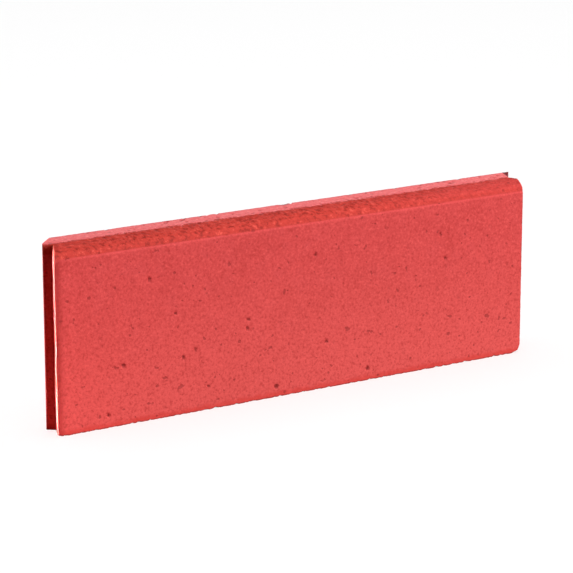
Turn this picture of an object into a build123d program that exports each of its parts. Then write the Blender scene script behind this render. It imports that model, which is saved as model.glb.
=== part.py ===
from build123d import *
import math
import os

# Pressed concrete garden edging slab, standing on its long narrow face.
# X runs along the slab, Y from its face to its back, Z up. Sizes in millimetres.

# Driving dimensions
length = 594.0          # width of the face between its two end arrises
height = 200.0
thickness = 50.0
bevel_height = 12.5     # rounded upper edge of the face, from its foot to the top
bevel_depth = 25.4      # the same edge, measured from front to back
ledge = 0.9             # set-back of the rounded edge at its foot
edge_radius = 8.0       # tighter curve at the foot, which runs into a flatter one above
crest_slope = 8.0       # degrees that the flatter curve still slopes at the flat top

# Left end: a notch, a ridge behind it and a slanting flank
notch_depth = 9.5       # bottom of the notch inside the end of the face
notch_back = 23.5       # bottom of the notch behind the face
ridge_inset = 0.7       # tip of the ridge inside the end of the face
ridge_back = 29.8       # tip of the ridge behind the face
flank_inset = 19.4      # back corner inside the end of the face

# Right end: a nose, a hollow behind it and a slanting lap, all with play
nose_reach = 6.3        # tip of the nose beyond the end of the face
nose_back = 19.5        # tip of the nose behind the face
hollow_inset = 2.0      # bottom of the hollow inside the end of the face
hollow_back = 26.5      # bottom of the hollow behind the face
lap_reach = 16.3        # back corner beyond the end of the face

corner_round = 1.2      # rounding of the moulded corners in plan

# The origin sits under the middle of the box around the slab
middle_x = (length + lap_reach) / 2
middle_y = thickness / 2
face_y = -middle_y
back_y = middle_y
face_left = -middle_x
face_right = length - middle_x

# Corners of the plan, anticlockwise from the left end of the face
nose = (face_right + nose_reach, face_y + nose_back)
hollow = (face_right - hollow_inset, face_y + hollow_back)
ridge = (face_left + ridge_inset, face_y + ridge_back)
notch = (face_left + notch_depth, face_y + notch_back)
plan_points = [
    (face_left, face_y),
    (face_right, face_y),
    nose,
    hollow,
    (face_right + lap_reach, back_y),
    (face_left + flank_inset, back_y),
    ridge,
    notch,
]

# The tight lower curve runs into the flatter upper one, which ends at an arris on the top
bevel_foot = height - bevel_height
bevel_top = (face_y + ledge + bevel_depth, height)
crest_sine = math.sin(math.radians(crest_slope))
crest_cosine = math.cos(math.radians(crest_slope))
crown_run = bevel_depth - edge_radius
crown_radius = (crown_run**2 + bevel_height**2 - edge_radius**2) / (
    2 * (bevel_height * crest_cosine - crown_run * crest_sine - edge_radius)
)
edge_turn = math.degrees(
    math.atan2(
        crown_radius * crest_cosine - bevel_height,
        crown_run + crown_radius * crest_sine,
    )
)
overrun = length + lap_reach

with BuildPart() as slab:
    # Plan with the notch on the left and the nose on the right
    with BuildSketch(Plane.XY) as plan:
        with BuildLine():
            Polyline(*plan_points, close=True)
        make_face()
        for corner in (nose, hollow, ridge, notch):
            moulded = plan.vertices().sort_by_distance((*corner, 0))[0]
            fillet(moulded, radius=corner_round)
    extrude(amount=height)

    # Cross-section with the rounded upper edge of the face
    with BuildSketch(Plane.YZ):
        with BuildLine():
            Polyline(
                bevel_top,
                (back_y, height),
                (back_y, 0),
                (face_y, 0),
                (face_y, bevel_foot),
                (face_y + ledge, bevel_foot),
            )
            edge = CenterArc(
                (face_y + ledge + edge_radius, bevel_foot),
                edge_radius,
                start_angle=180,
                arc_size=-edge_turn,
            )
            TangentArc(edge @ 1, bevel_top, tangent=edge % 1)
        make_face()
    extrude(amount=overrun, both=True, mode=Mode.INTERSECT)

slab.part.label = "edging_slab"

os.makedirs("parts", exist_ok=True)
export_step(slab.part, "parts/edging_slab.step")
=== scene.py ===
"""Red pressed concrete garden edging slab, dressed for a studio picture. Metres."""
import math
import random

import bpy
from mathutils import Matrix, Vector, kdtree


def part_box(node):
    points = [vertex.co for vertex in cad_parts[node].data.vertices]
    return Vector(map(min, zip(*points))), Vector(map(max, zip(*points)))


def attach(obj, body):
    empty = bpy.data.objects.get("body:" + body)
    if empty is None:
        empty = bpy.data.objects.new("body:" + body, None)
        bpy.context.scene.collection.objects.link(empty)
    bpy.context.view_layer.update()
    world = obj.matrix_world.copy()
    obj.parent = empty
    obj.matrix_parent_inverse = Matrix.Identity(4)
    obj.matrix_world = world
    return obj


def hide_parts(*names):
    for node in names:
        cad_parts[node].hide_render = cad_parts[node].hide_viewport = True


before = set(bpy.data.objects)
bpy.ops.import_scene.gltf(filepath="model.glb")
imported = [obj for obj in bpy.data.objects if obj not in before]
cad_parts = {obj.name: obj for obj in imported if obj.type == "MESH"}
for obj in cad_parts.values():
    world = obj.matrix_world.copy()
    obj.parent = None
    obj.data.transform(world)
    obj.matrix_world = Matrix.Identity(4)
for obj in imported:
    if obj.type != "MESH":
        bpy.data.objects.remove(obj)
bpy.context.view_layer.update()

MM = 0.001

# Places on the slab, from its CAD box
box_low, box_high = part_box("edging_slab")
left, right = box_low.x, box_high.x
face_y, back_y = box_low.y, box_high.y
top = box_high.z
face_right = right - 16.3 * MM         # right end of the face, short of the lap
bevel_foot = top - 12.5 * MM           # height where the rounded edge starts
ledge_y = face_y + 0.9 * MM            # the rounded edge starts a little behind the face
arris_y = face_y + 26.3 * MM           # the rounded edge ends here on the flat top
foot_radius = 8 * MM                   # tighter curve at the foot of the rounded edge
crest_slope = math.radians(8)          # slope of the flatter curve above it, where that ends
shoulder_slant = 9.5 / 23.5            # how far the left shoulder runs in along X for its way back
end_zone = 30 * MM                     # the shaped ends lie within this of the box

facing = 0.99                          # share of its normal for a face to look along an axis
close = 0.05 * MM                      # points this near count as being at a place

# Camera
camera_place = Vector((-1.56935, -2.47440, 0.89210))
camera_yaw = math.radians(32.206)      # from +Y towards +X
camera_dip = math.radians(14.895)
camera_lens = 175.02

chance = random.Random(20)


# Modelling helpers
def only(piece):
    """Deselects everything and makes this piece the active one."""
    bpy.ops.object.select_all(action="DESELECT")
    piece.select_set(True)
    bpy.context.view_layer.objects.active = piece


def steps(low, high, pitch):
    """Evenly spaced places from low to high, about pitch apart, both ends left out."""
    count = max(1, round((high - low) / pitch))
    return [low + (high - low) * i / count for i in range(1, count)]


def hide_faces(piece, chosen):
    """Hides the faces that chosen picks by their normal, and leaves edit mode on."""
    bpy.ops.object.mode_set(mode="OBJECT")
    for face in piece.data.polygons:
        face.select = chosen(face.normal)
    bpy.ops.object.mode_set(mode="EDIT")
    bpy.ops.mesh.select_mode(type="FACE")
    bpy.ops.mesh.hide(unselected=False)


def cut(places, normal):
    """Cuts the visible faces through at each place along one axis."""
    for place in places:
        bpy.ops.mesh.select_all(action="SELECT")
        bpy.ops.mesh.bisect(plane_co=Vector(normal) * place, plane_no=normal)


def knock_off(corner, reach, lean):
    """Breaks a corner off along a plane that meets its three edges at their reach."""
    normal = Vector([way / length for way, length in zip(lean, reach)]).normalized()
    edge_point = Vector(corner) - Vector((lean[0] * reach[0] * MM, 0, 0))
    bpy.ops.mesh.select_all(action="SELECT")
    bpy.ops.mesh.bisect(plane_co=edge_point, plane_no=normal, use_fill=True, clear_outer=True)


def draw_out(way):
    """Draws the selected edge out into a flat side."""
    bpy.ops.mesh.extrude_region_move(TRANSFORM_OT_translate={"value": way})


def turn_out(flats, angle, centre):
    """Turns the selected edge out into a curved side of so many flats."""
    bpy.ops.mesh.spin(steps=flats, angle=angle, center=centre, axis=(1, 0, 0))


def mould_bar(margin):
    """A bar that is larger than the slab by margin, and has its section at the rounded edge."""
    run, rise = arris_y - ledge_y - foot_radius, top - bevel_foot
    crown_radius = (run**2 + rise**2 - foot_radius**2) / (
        2 * (rise * math.cos(crest_slope) - run * math.sin(crest_slope) - foot_radius))
    crown_y = arris_y + crown_radius * math.sin(crest_slope)
    crown_z = top - crown_radius * math.cos(crest_slope)
    foot_y = ledge_y + foot_radius
    turn = math.atan2(foot_y - crown_y, bevel_foot - crown_z)

    # The underside, then from its front edge once round the section
    bpy.ops.object.select_all(action="DESELECT")
    bpy.ops.mesh.primitive_plane_add(size=1, location=(0, 0, -margin))
    bar = bpy.context.active_object
    bpy.ops.object.mode_set(mode="EDIT")
    bpy.ops.transform.resize(value=(right - left + 2 * margin, back_y - face_y + 2 * margin, 1))
    bpy.ops.mesh.select_all(action="DESELECT")
    bpy.ops.object.mode_set(mode="OBJECT")
    for edge in bar.data.edges:
        edge.select = all(bar.data.vertices[i].co.y < face_y for i in edge.vertices)
    bpy.ops.object.mode_set(mode="EDIT")
    bpy.ops.mesh.select_mode(type="EDGE")
    draw_out((0, 0, bevel_foot + margin))
    draw_out((0, ledge_y - face_y + margin, 0))
    turn_out(7, math.pi / 2 + turn, (0, foot_y, bevel_foot))
    turn_out(16, -turn - crest_slope, (0, crown_y, crown_z))
    draw_out((0, back_y + margin - arris_y, 0))
    draw_out((0, 0, -top - margin))
    bpy.ops.mesh.select_all(action="SELECT")
    bpy.ops.mesh.remove_doubles(threshold=0.01 * MM)
    bpy.ops.mesh.fill_holes(sides=0)
    bpy.ops.mesh.normals_make_consistent(inside=False)
    bpy.ops.mesh.select_mode(type="VERT")
    bpy.ops.object.mode_set(mode="OBJECT")
    return bar


def split_long_edges(mesh, span, cuts):
    """Divides the edges that run along X for the whole span; a call takes at most 100 cuts."""
    bpy.ops.mesh.select_all(action="DESELECT")
    bpy.ops.object.mode_set(mode="OBJECT")
    for edge in mesh.edges:
        a, b = (mesh.vertices[i].co for i in edge.vertices)
        edge.select = abs(abs(a.x - b.x) - span) < 0.01 * MM
    bpy.ops.object.mode_set(mode="EDIT")
    bpy.ops.mesh.select_mode(type="EDGE")
    bpy.ops.mesh.subdivide(number_cuts=cuts)


def pressed_slab():
    """The slab as it leaves the mould, its corners knocked, in a grid that wear can follow."""
    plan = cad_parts["edging_slab"].data.copy()
    plan.materials.clear()
    slab = bpy.data.objects.new("pressed_slab", plan)
    bpy.context.scene.collection.objects.link(slab)
    margin = 10 * MM
    bar = mould_bar(margin)

    # The lower half, with the slab's plan, drawn up past its top and trimmed to the section
    only(slab)
    bpy.ops.object.mode_set(mode="EDIT")
    bpy.ops.mesh.select_all(action="SELECT")
    bpy.ops.mesh.remove_doubles(threshold=0.001 * MM)
    bpy.ops.mesh.dissolve_limited(angle_limit=math.radians(0.2))
    bpy.ops.mesh.select_all(action="SELECT")
    middle = Vector((0, 0, top / 2))
    bpy.ops.mesh.bisect(plane_co=middle, plane_no=(0, 0, 1), use_fill=True, clear_outer=True)
    bpy.ops.transform.translate(value=(0, 0, top / 2 + margin))
    bpy.ops.object.mode_set(mode="OBJECT")
    trim = slab.modifiers.new("trim", "BOOLEAN")
    trim.operation, trim.solver, trim.object = "INTERSECT", "EXACT", bar
    bpy.ops.object.modifier_apply(modifier="trim")
    bpy.data.objects.remove(bar)
    mesh = slab.data
    bpy.ops.object.mode_set(mode="EDIT")

    # Corners, each broken off along two planes: reach along X, Y and Z in mm, and which way out
    front_left, front_right = (left, face_y, 0), (face_right, face_y, 0)
    knock_off(front_left, (2.6, 7, 7.5), (-1, -1, -1))
    knock_off(front_left, (6.5, 9, 3.2), (-1, -1, -1))
    knock_off(front_right, (4.2, 9, 9), (1, -1, -1))
    knock_off(front_right, (11, 12, 4.0), (1, -1, -1))

    # Fine rows on the long face and the top, densest at the foot and beside the arrises
    foot_rows, crease_row = 15 * MM, bevel_foot - 2.4 * MM
    crest_row, brink_row = arris_y + 0.9 * MM, back_y - 2 * MM
    hide_faces(slab, lambda normal: normal.y > facing or normal.z < -facing)
    cut([
        1.0 * MM,
        *steps(1.0 * MM, foot_rows, 1.4 * MM),
        foot_rows,
        *steps(foot_rows, crease_row, 2.2 * MM),
        crease_row,
        bevel_foot - 1.0 * MM,
    ], (0, 0, 1))
    cut([crest_row, *steps(crest_row, brink_row, 2.4 * MM), brink_row, back_y - 1 * MM], (0, 1, 0))
    bpy.ops.mesh.reveal(select=False)

    # Rows on the ends beside the rounded edge
    hide_faces(slab, lambda normal: abs(normal.x) < 0.1)
    cut([*(bevel_foot + rise * MM for rise in (2.4, 4.8, 7.2)), top - 2.4 * MM], (0, 0, 1))
    cut(steps(face_y, arris_y, 2 * MM), (0, 1, 0))
    bpy.ops.mesh.reveal(select=False)

    # Coarser rows on the back and the underside
    edge_row = 4 * MM
    hide_faces(slab, lambda normal: normal.y <= facing and normal.z >= -facing)
    cut([
        1.5 * MM,
        edge_row,
        *steps(edge_row, top - edge_row, 5.5 * MM),
        top - edge_row,
        top - 1.5 * MM,
    ], (0, 0, 1))
    front_row = face_y + edge_row
    cut([face_y + 1.5 * MM, front_row, *steps(front_row, back_y, 9 * MM)], (0, 1, 0))
    bpy.ops.mesh.reveal(select=False)

    # Columns, first at the ends, then between them
    middle_left, middle_right = left + end_zone, right - end_zone
    quarters, columns = 4, 90
    cut([middle_left, middle_right], (1, 0, 0))
    cut(steps(left, middle_left, 1.5 * MM), (1, 0, 0))
    cut(steps(middle_right, right, 1.5 * MM), (1, 0, 0))
    split_long_edges(mesh, middle_right - middle_left, quarters - 1)
    split_long_edges(mesh, (middle_right - middle_left) / quarters, columns - 1)
    bpy.ops.mesh.select_mode(type="VERT")
    bpy.ops.object.mode_set(mode="OBJECT")
    return slab


def pull(piece, chosen, offset):
    """Moves the points that chosen picks by their place."""
    only(piece)
    bpy.ops.object.mode_set(mode="EDIT")
    bpy.ops.mesh.select_mode(type="VERT")
    bpy.ops.mesh.select_all(action="DESELECT")
    bpy.ops.object.mode_set(mode="OBJECT")
    for point in piece.data.vertices:
        point.select = chosen(point.co)
    bpy.ops.object.mode_set(mode="EDIT")
    bpy.ops.transform.translate(value=offset)
    bpy.ops.object.mode_set(mode="OBJECT")


def wear(piece, name, weights, depth, size=None, patchy=False, lift=False):
    """Presses the weighted points in along their normals, by a cloudy amount if size is given.

    Patchy wear leaves bare stretches between the worn ones, and lift moves the points up instead.
    """
    group = piece.vertex_groups.new(name=name)
    for index, weight in weights.items():
        group.add([index], min(1.0, weight), "REPLACE")
    only(piece)
    press = piece.modifiers.new(name, "DISPLACE")
    press.vertex_group = name
    if size:
        # A cloud runs from 0 to 1. A patchy one is shifted so that it is cut off over long
        # stretches, at the value that moves nothing
        cloud = bpy.data.textures.new(name, "CLOUDS")
        cloud.noise_scale = size
        cloud.noise_depth = 2
        cloud.contrast = 2.2
        if patchy:
            cloud.intensity = 0.5 if lift else 1.5
        press.texture = cloud
        press.texture_coords = "LOCAL"
        press.strength = depth
        press.mid_level = 0.0 if lift else 1.0
        press.direction = "Z" if lift else "NORMAL"
    else:
        press.strength = -depth
        press.mid_level = 0.0
    bpy.ops.object.modifier_apply(modifier=name)
    piece.vertex_groups.remove(piece.vertex_groups[name])


def arris_points(piece, sharp):
    """The points on edges whose faces turn by more than sharp degrees."""
    mesh = piece.data
    limit = math.cos(math.radians(sharp))
    sides = {}
    for face in mesh.polygons:
        for key in face.edge_keys:
            sides.setdefault(key, []).append(face.normal)
    return {
        index
        for key, normals in sides.items()
        if len(normals) == 2 and normals[0].dot(normals[1]) < limit
        for index in key
    }


def near(piece, points, reach):
    """A weight for every point within reach of the given ones, falling off with distance."""
    tree = kdtree.KDTree(len(points))
    for number, index in enumerate(points):
        tree.insert(piece.data.vertices[index].co, number)
    tree.balance()
    weights = {}
    for point in piece.data.vertices:
        distance = tree.find(point.co)[2]
        if distance < reach:
            weights[point.index] = 1 - distance / reach
    return weights


def pitted(piece, pits):
    """Weights of round pits, each given by its place and radius."""
    tree = kdtree.KDTree(len(piece.data.vertices))
    for point in piece.data.vertices:
        tree.insert(point.co, point.index)
    tree.balance()
    weights = {}
    for place, radius, depth in pits:
        for _, index, distance in tree.find_range(place, radius):
            weight = depth * (1 - (distance / radius) ** 3)
            weights[index] = max(weights.get(index, 0), weight)
    return weights


def note(piece, name, weights):
    """Keeps weights on the piece for its material to read."""
    kept = piece.data.attributes.new(name, "FLOAT", "POINT")
    for index, weight in weights.items():
        kept.data[index].value = min(1.0, weight)


slab = pressed_slab()

# The foot of the rounded edge: a small fillet above a slightly raised arris of the face
pull(
    slab,
    lambda p: abs(p.z - bevel_foot) < close and abs(p.y - ledge_y) < 2 * close,
    (0, 0.05 * MM, 1.1 * MM),
)
pull(slab, lambda p: abs(p.z - bevel_foot) < close and p.y < face_y + 2 * close, (0, 0.2 * MM, 0))

# Worn arrises, all but the front one of the left end
edges = arris_points(slab, sharp=30)
spots = slab.data.vertices
open_edges = [i for i in edges if spots[i].co.x > left + 8 * MM or spots[i].co.y > face_y + 20 * MM]
wear(slab, "all_edges", near(slab, open_edges, 1.2 * MM), depth=0.22 * MM, size=3.5 * MM)

# The face's lower edge: crumbled back, and lifted in waves and small bites
foot = [i for i in edges if spots[i].co.z < 0.6 * MM and spots[i].co.y < face_y + 1 * MM]
for name, reach, depth, size, lift in (
    ("crumbled_foot", 4, 1.0, 5, False),
    ("wavy_foot", 8, 2.0, 8, True),
    ("nibbled_foot", 3, 1.0, 2.5, True),
):
    wear(slab, name, near(slab, foot, reach * MM), depth * MM, size * MM, patchy=True, lift=lift)

# The left end: its shoulder chipped at the top, the face's arris eased back over a few millimetres
shoulder_top = [
    i for i in edges
    if spots[i].co.x < left + 9 * MM and spots[i].co.z > top - 6 * MM
    and face_y + 8 * MM < spots[i].co.y < face_y + 23 * MM
]
wear(slab, "chipped_shoulder", near(slab, shoulder_top, 5 * MM), depth=1.2 * MM)
front_y, front_top = face_y + 0.6 * MM, bevel_foot + 0.5 * MM
for reach, drop in ((0.5, 0.30), (2.0, 0.20), (3.4, 0.12), (5.0, 0.06)):
    pull(
        slab,
        lambda p: p.x < left + reach * MM and p.y < front_y and p.z < front_top,
        (0, drop * MM, 0),
    )

# The rounded edge: a nibbled arris on the top, and a coarse crown that fades out towards its sides
crest = [
    p.index for p in spots
    if abs(p.co.y - arris_y) < 2 * close and p.co.z > top - 1 * MM and p.co.x < face_right - 10 * MM
]
wear(slab, "nibbled_crest", near(slab, crest, 1.6 * MM), depth=0.5 * MM, size=2.2 * MM)
crown = {}
for point in spots:
    across = min(
        point.co.z - bevel_foot - 2 * MM,
        arris_y - 1 * MM - point.co.y,
        face_right - 1 * MM - point.co.x,
    )
    if across > 0:
        crown[point.index] = min(1.0, across / (4 * MM))
wear(slab, "coarse_crown", crown, depth=0.55 * MM, size=2.4 * MM)
skin = {p.index: 1.0 for p in spots if p.co.x > left + 12 * MM}
wear(slab, "uneven_skin", skin, depth=0.18 * MM, size=14 * MM)

# Pits, the clearest ones of the face as distance from its left end, height and radius in mm
face_pits = (
    (77.7, 65.3, 2.6), (150.0, 62.7, 2.2), (58.9, 13.8, 2.0), (330.2, 52.7, 2.4),
    (180.4, 25.7, 2.0), (229.3, 82.6, 2.0), (230.6, 92.4, 2.2), (164.7, 69.2, 1.9),
    (480.6, 153.2, 1.8), (140.8, 112.3, 2.0), (315.6, 152.6, 2.0), (487.9, 124.8, 2.0),
    (110.0, 153.5, 2.2), (384.4, 13.4, 2.4), (265.8, 11.9, 3.0),
)
pits = [((left + x * MM, face_y, z * MM), radius * MM, 1.0) for x, z, radius in face_pits]
for _ in range(240):
    x, z = chance.uniform(left, right), chance.uniform(0, top)
    side = chance.choice((face_y, face_y, back_y))
    pits.append(((x, side, z), chance.uniform(1.5, 2.6) * MM, chance.uniform(0.03, 0.25)))
for _ in range(140):
    x, y = chance.uniform(left, right), chance.uniform(face_y + 2 * MM, back_y)
    pits.append(((x, y, top), chance.uniform(1.5, 3.0) * MM, chance.uniform(0.2, 0.7)))
holes = pitted(slab, pits)
wear(slab, "pits", holes, depth=1.3 * MM)
# The pits are kept for the material, which paints shade into them
note(slab, "pitted", holes)

# A chip in the top of the lap, open to its end, with the back arris left standing, painted with
# shade
chip_start = Vector((face_right - 0.4 * MM, face_y + 28.3 * MM))
chip_end = Vector((face_right + 6.8 * MM, face_y + 47.2 * MM))
chip_run = (chip_end - chip_start).normalized()
shade = {}
for point in spots:
    across = (point.co.x - chip_start.x) * chip_run.y - (point.co.y - chip_start.y) * chip_run.x
    if point.co.z > top - 2.2 * MM and across > -0.2 * MM and point.co.y > chip_start.y - 1 * MM:
        shade[point.index] = 1.0
        if point.co.y < back_y - 1.6 * MM:
            point.co.z -= (0.4 + min(1.4, across / MM * 0.5) + chance.uniform(-0.1, 0.1)) * MM

# Nicks along the back arris, all but the shortest one painted with shade: distance from the left
# end, half length, width and depth in mm
nicks = (
    (15, 2.6, 3, 0.5), (86, 2.4, 3, 0.5), (306, 6.0, 4.5, 0.7), (315, 1.8, 5, 1.5),
    (539, 3.0, 3.5, 0.6), (452, 2.0, 2.5, 0.4), (200, 2.0, 2.5, 0.4), (391, 2.2, 2.5, 0.4),
)
shortest = min(nick[1] for nick in nicks)
for x, reach, width, depth in nicks:
    for point in spots:
        along = abs(point.co.x - left - x * MM) / (reach * MM)
        if along < 1 and point.co.z > top - 1.2 * MM and point.co.y > back_y - width * MM:
            if reach > shortest:
                shade[point.index] = max(shade.get(point.index, 0), 0.95 - 0.5 * along)
            if point.co.y > back_y - 2.5 * MM:
                point.co.z -= depth * (1 - along**2) * MM

# Painted shade on the shoulder's worn top too
for point in spots:
    low = (point.co.z - bevel_foot - 2 * MM) / (3 * MM)
    shoulder_x = left + (point.co.y - face_y) * shoulder_slant + 0.3 * MM
    if low > 0 and point.co.x < shoulder_x and point.co.y < face_y + 22 * MM:
        shade[point.index] = min(0.8, low)
note(slab, "shaded", shade)

# Nothing stands proud of the mould
for point in spots:
    point.co = [min(max(way, low), high) for way, low, high in zip(point.co, box_low, box_high)]


# Shader helpers
class Value:
    """One socket of a node tree, with arithmetic that adds Math nodes."""

    def __init__(self, tree, socket):
        self.tree, self.socket = tree, socket

    def node(self, kind, settings=None, output=0, **sockets):
        """Adds a node with its settings, then its socket values or links; returns one output.

        A socket is given by its name, with _ for a space, or by its number, as in i0.
        """
        made = self.tree.nodes.new(kind)
        for name, value in (settings or {}).items():
            setattr(made, name, value)
        for name, value in sockets.items():
            key = int(name[1:]) if name[0] == "i" and name[1:].isdigit() else name.replace("_", " ")
            if isinstance(value, Value):
                self.tree.links.new(value.socket, made.inputs[key])
            else:
                made.inputs[key].default_value = value
        return Value(self.tree, made.outputs[output])

    def math(self, operation, *others):
        sockets = {f"i{n}": value for n, value in enumerate((self, *others))}
        return self.node("ShaderNodeMath", {"operation": operation}, **sockets)

    def __add__(self, other):
        return self.math("ADD", other)

    def __mul__(self, other):
        return self.math("MULTIPLY", other)

    def __sub__(self, other):
        return self.math("SUBTRACT", other)

    def __rsub__(self, other):
        return self * -1 + other

    __radd__ = __add__
    __rmul__ = __mul__

    def ramp(self, low, high):
        """0 at low, 1 at high, smooth between; low may be above high."""
        settings = {"interpolation_type": "SMOOTHSTEP"}
        return self.node("ShaderNodeMapRange", settings, Value=self, From_Min=low, From_Max=high)

    def most(self, other):
        return self.math("MAXIMUM", other)


def tint(factor, plain, other):
    """A colour between two, by a factor."""
    settings = {"data_type": "RGBA"}
    return factor.node("ShaderNodeMix", settings, output=2, i0=factor, i6=plain, i7=other)


def red_concrete():
    """Through-coloured pressed concrete: smooth face, coarser rounded edge, top paler by its
    strike-off and a painted sheen.
    """
    material = bpy.data.materials.new("red_concrete")
    material.use_nodes = True
    tree = material.node_tree
    shader = tree.nodes["Principled BSDF"]
    place = Value(tree, tree.nodes.new("ShaderNodeTexCoord").outputs["Object"])
    axes = {
        axis: place.node("ShaderNodeSeparateXYZ", output=number, Vector=place)
        for number, axis in enumerate("xyz")
    }

    def noise(scale, detail=2.0, roughness=0.55, shift=0.0):
        moved = place.node("ShaderNodeMapping", Vector=place, Location=(shift, shift, shift))
        grain = {"Scale": scale, "Detail": detail, "Roughness": roughness}
        return place.node("ShaderNodeTexNoise", Vector=moved, **grain)

    def mark(name):
        """How much of a kind of wear the piece carries at a point."""
        read = tree.nodes.new("ShaderNodeAttribute")
        read.attribute_name = name
        return Value(tree, read.outputs["Fac"])

    cloud = noise(14, 3)
    blotch = noise(110, 3)
    mottle = noise(330, 2, 0.65)
    sand = noise(900, 2, 0.7)
    coarse = noise(190, 3, 0.7, 0.3)

    # Where each look lies
    ragged = (blotch - 0.5) * 13 * MM + (mottle - 0.5) * 9 * MM
    # The flat top: paler by its finish, and by a painted sheen of light grazing it from behind
    struck_top_sheen = (axes["y"] + ragged).ramp(arris_y - 0.4 * MM, arris_y + 0.5 * MM)
    struck_top_sheen = struck_top_sheen * axes["z"].ramp(top - 1.6 * MM, top - 0.7 * MM)
    brink = axes["y"].ramp(back_y - 3 * MM, back_y - 0.5 * MM)
    brink = brink * axes["z"].ramp(top - 2 * MM, top - 1 * MM)
    crown = (axes["z"] + (mottle - 0.5) * 2 * MM).ramp(bevel_foot + 0.5 * MM, bevel_foot + 2.5 * MM)
    crown = crown * (1 - struck_top_sheen) * axes["y"].ramp(arris_y + 8 * MM, arris_y + 6 * MM)
    gritty = crown * (1 - axes["x"].ramp(20 * MM, face_right) * 0.6)
    # Painted shade in the dip above the crease at the foot of the rounded edge
    crease_shade = crown * axes["z"].ramp(bevel_foot + 7.5 * MM, bevel_foot + 4 * MM)
    # Dark patches just below the arris: partly the coarse grain, partly painted shade
    crest = crown * (axes["y"] + ragged * 0.5).ramp(arris_y - 13 * MM, arris_y - 1 * MM)
    foot = (axes["z"] + (blotch - 0.5) * 8 * MM).ramp(8 * MM, 2 * MM)
    low = axes["z"].ramp(bevel_foot, 0) * (1 - foot)
    # A thin dark band along the bottom: painted shade where the slab meets the ground
    rim = (axes["z"] + (mottle - 0.5) * MM).ramp(1.7 * MM, 0.5 * MM)
    # Painted shade on the face towards its left end, beside the notch
    left_end_shade = (axes["x"] + (blotch - 0.5) * 5 * MM).ramp(left + 11 * MM, left - 2 * MM)
    left_end_shade = left_end_shade * axes["y"].ramp(face_y + 1.2 * MM, face_y + 0.6 * MM)
    # Pores and pits, their dark colour painted shade in the holes
    pores_and_shade = (noise(150, 1, 0.5, 1.7).ramp(0.31, 0.24) * 0.5).most(mark("pitted"))

    # The plain concrete, then each look laid over it by its share
    body = tint(cloud.ramp(0.3, 0.7), (0.56, 0.040, 0.038, 1), (0.61, 0.049, 0.048, 1))
    for share, colour in (
        (noise(45, 2, 0.5, 0.2).ramp(0.45, 0.70) * 0.5, (0.62, 0.056, 0.057, 1)),
        (blotch.ramp(0.40, 0.70) * 0.5, (0.67, 0.057, 0.054, 1)),
        (low * 0.6, (0.76, 0.089, 0.079, 1)),
        (mottle.ramp(0.52, 0.26) * 0.7, (0.44, 0.020, 0.017, 1)),
        (mottle.ramp(0.50, 0.74) * 0.6, (0.80, 0.094, 0.085, 1)),
        (sand.ramp(0.45, 0.72) * 0.25, (0.46, 0.020, 0.016, 1)),
        (gritty * 0.65, (0.56, 0.032, 0.013, 1)),
        # Painted shade above the crease
        (crease_shade * 0.6, (0.44, 0.019, 0.011, 1)),
        (gritty * coarse.ramp(0.50, 0.36) * 0.85, (0.29, 0.010, 0.004, 1)),
        (gritty * coarse.ramp(0.56, 0.68) * 0.6, (0.80, 0.095, 0.065, 1)),
        # Coarse grain below the arris, darkened as painted shade
        (crest * coarse.ramp(0.75, 0.40) * 0.6, (0.38, 0.014, 0.006, 1)),
        (foot * 0.7, (0.66, 0.042, 0.030, 1)),
        # Painted shade along the bottom
        (rim * 0.75, (0.20, 0.014, 0.009, 1)),
        # Painted shade at the face's left end
        (left_end_shade * 0.8, (0.37, 0.012, 0.010, 1)),
        # The flat top's paler finish with its painted sheen
        (struck_top_sheen * 0.8, (0.83, 0.112, 0.117, 1)),
        (struck_top_sheen * coarse.ramp(0.50, 0.64) * 0.85, (0.90, 0.19, 0.19, 1)),
        (struck_top_sheen * mottle.ramp(0.44, 0.32) * 0.7, (0.50, 0.035, 0.040, 1)),
        (brink * 0.5, (0.42, 0.055, 0.075, 1)),
        # Painted shade in pores and pits
        (pores_and_shade, (0.20, 0.006, 0.005, 1)),
        # Painted shade on the lap's chip, the back nicks and the shoulder's top
        (mark("shaded"), (0.15, 0.008, 0.010, 1)),
    ):
        body = tint(share, body, colour)
    tree.links.new(body.socket, shader.inputs["Base Color"])
    rough = 0.70 + (mottle - 0.5) * 0.2
    tree.links.new(rough.socket, shader.inputs["Roughness"])
    shader.inputs["Specular IOR Level"].default_value = 0.3
    height = mottle * 0.45 + sand * 0.25 + coarse * crown * 0.8 - pores_and_shade * 1.2
    bump = place.node("ShaderNodeBump", Strength=0.7, Distance=0.7 * MM, Height=height)
    tree.links.new(bump.socket, shader.inputs["Normal"])
    return material


slab.data.materials.append(red_concrete())
only(slab)
bpy.ops.object.shade_smooth_by_angle(angle=math.radians(40))
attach(slab, "root")
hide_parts("edging_slab")


# Studio
def soft_light(name, place, aim, size, power):
    """A rectangular soft light that looks at a place."""
    lamp = bpy.data.lights.new(name, "AREA")
    lamp.shape, lamp.size, lamp.size_y = "RECTANGLE", size[0], size[1]
    lamp.energy = power
    light = bpy.data.objects.new(name, lamp)
    light.location = place
    light.rotation_euler = (Vector(aim) - Vector(place)).to_track_quat("-Z", "Y").to_euler()
    bpy.context.scene.collection.objects.link(light)
    return light


def lights_only(light, piece):
    """Keeps a light to one piece, so that it leaves no mark on the others."""
    group = bpy.data.collections.new(light.name + "_receives")
    group.objects.link(piece)
    light.light_linking.receiver_collection = group


bpy.ops.mesh.primitive_plane_add(size=30, location=(0, 2, 0))
floor = bpy.context.active_object
floor.name = "floor"
paint = bpy.data.materials.new("white_floor")
paint.use_nodes = True
paint_shader = paint.node_tree.nodes["Principled BSDF"]
paint_shader.inputs["Base Color"].default_value = (0.9, 0.9, 0.9, 1)
paint_shader.inputs["Roughness"].default_value = 0.9
floor.data.materials.append(paint)
floor.visible_diffuse = False
floor.visible_glossy = False

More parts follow.
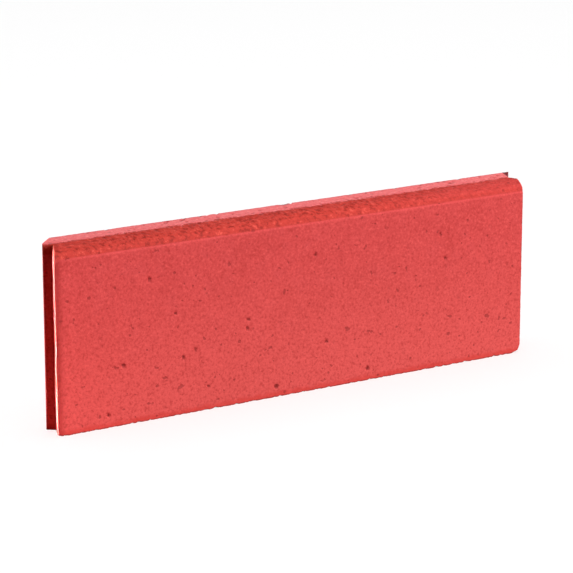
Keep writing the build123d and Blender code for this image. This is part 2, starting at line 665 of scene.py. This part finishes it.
key = soft_light("key", (1.7, -4.0, 1.0), (0, 0, 0.1), (2.0, 1.6), 216)
over = soft_light("over", (1.2, -0.8, 3.6), (0, 0, 0), (2, 2), 108)
rim = soft_light("rim", (-3.2, 3.6, 0.85), (0, 0, 0.15), (1.2, 0.25), 190)

# A narrow level beam along the left shoulder, cut off where the rounded edge starts
strip_height = 0.28
strip_z = bevel_foot + 5 * MM - strip_height / 2
strip_place = (left - 0.80, face_y + 0.72, strip_z)
strip_aim = (left + 3 * MM, face_y + 8 * MM, strip_z)
strip = soft_light("strip", strip_place, strip_aim, (0.03, strip_height), 0.23)
strip.data.spread = math.radians(2)

# Red light thrown back from the ground into the notch
bounce_place, bounce_aim = (left - 0.10, face_y - 0.16, 0.004), (left, face_y + 0.02, 0.03)
bounce = soft_light("bounce", bounce_place, bounce_aim, (0.12, 0.06), 0.16)
bounce.data.color = (1, 0.30, 0.25)
bounce.visible_camera = False

# White light from behind, and a wash on the floor alone, in which the slab throws no shadow
backdrop = soft_light("backdrop", (0.6, 3.2, 0.7), (0, 0, 0.3), (7, 1.4), 120)
wash = soft_light("wash", (0, 0, 8.0), (0, 0, 0), (20, 20), 2200)
for lamp in (key, over, rim, strip, bounce, backdrop):
    lights_only(lamp, slab)
lights_only(wash, floor)
wash.light_linking.blocker_collection = wash.light_linking.receiver_collection

# White all round, which only the camera sees
world = bpy.context.scene.world or bpy.data.worlds.new("studio")
bpy.context.scene.world = world
world.use_nodes = True
world.cycles_visibility.diffuse = False
world.cycles_visibility.glossy = False
world.node_tree.nodes["Background"].inputs["Color"].default_value = (1, 1, 1, 1)
world.node_tree.nodes["Background"].inputs["Strength"].default_value = 1.0

sight = Vector((
    math.sin(camera_yaw) * math.cos(camera_dip),
    math.cos(camera_yaw) * math.cos(camera_dip),
    -math.sin(camera_dip),
))
lens = bpy.data.cameras.new("camera")
lens.lens, lens.sensor_width = camera_lens, 36
camera = bpy.data.objects.new("camera", lens)
camera.location = camera_place
camera.rotation_euler = sight.to_track_quat("-Z", "Y").to_euler()
bpy.context.scene.collection.objects.link(camera)
bpy.context.scene.camera = camera
bpy.context.scene.view_settings.view_transform = "Standard"
